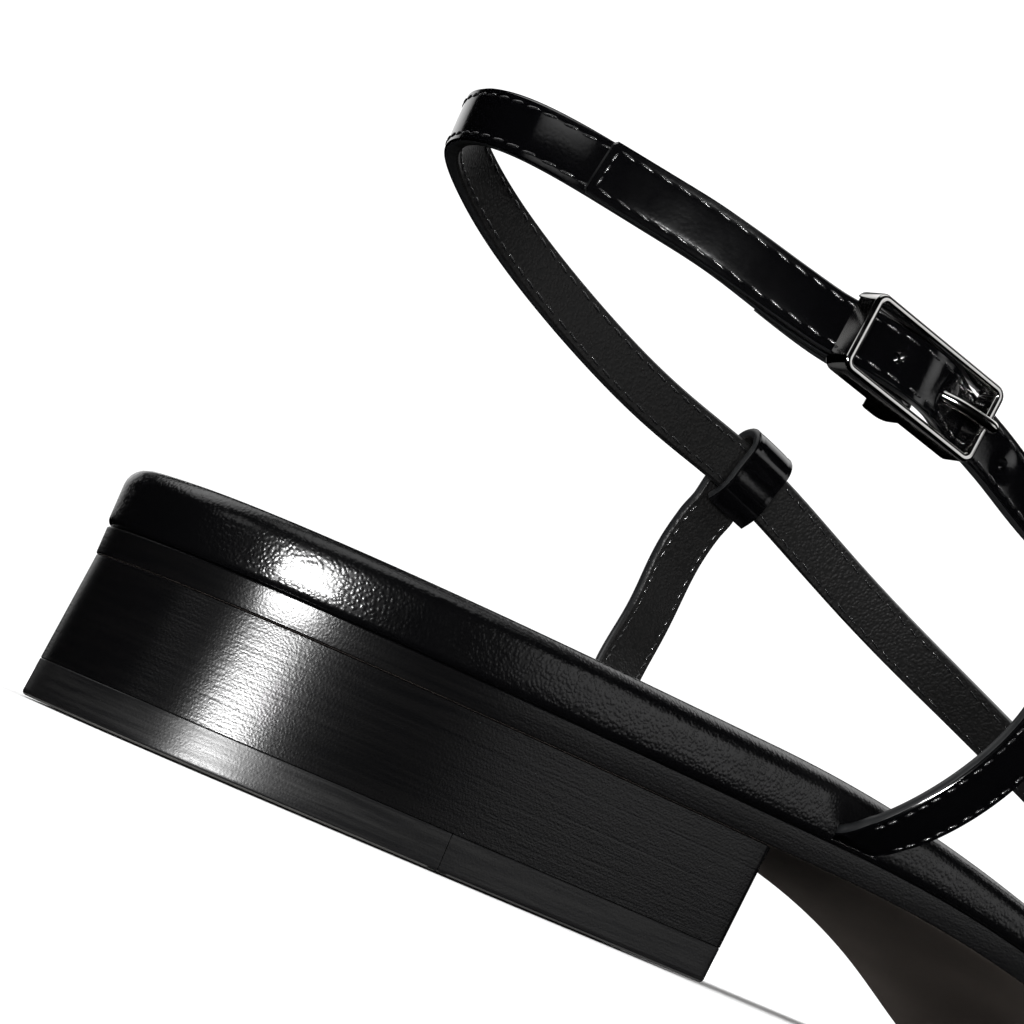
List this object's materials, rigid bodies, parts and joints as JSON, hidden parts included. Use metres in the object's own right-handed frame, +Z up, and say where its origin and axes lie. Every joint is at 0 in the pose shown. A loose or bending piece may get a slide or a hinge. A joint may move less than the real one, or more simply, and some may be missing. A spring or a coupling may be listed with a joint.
{
  "type": "sandal",
  "caption": "Low-heeled toe-post sandal with a narrow ankle strap in side loop tabs, small buckle, wrapped footbed, leather outsole and stacked heel with a part-rubber top lift.",
  "frame": {"origin": "floor level below the middle of the shoe's box", "axes": "+X from heel to toe, +Y to the wearer's left, which is the inner side of this right shoe, +Z up"},
  "size_m": [0.2456, 0.0808, 0.0822],
  "materials": {
    "heel_rubber": "matt, finely grained black rubber",
    "top_lift_leather": "satin black waxed leather",
    "heel_leather": "burnished black stacked leather with fine level brush lines",
    "sole_leather": "satin black dyed sole leather",
    "footbed_leather": "glossy black leather wrap with a fine pebble",
    "strap_leather": "polished black leather, stitched edges",
    "tab_leather": "polished black leather, stitched edges",
    "buckle_metal": "polished nickel plate"
  },
  "bodies": {
    "root": {"heel_top_lift_rubber": "heel_rubber", "heel_top_lift_leather": "top_lift_leather", "heel_stack": "heel_leather", "outsole": "sole_leather", "footbed": "footbed_leather", "strap_upper": "strap_leather", "strap_tab_left": "tab_leather", "strap_tab_right": "tab_leather", "buckle_frame": "buckle_metal", "buckle_prong": "buckle_metal"}
  },
  "joints": []
}
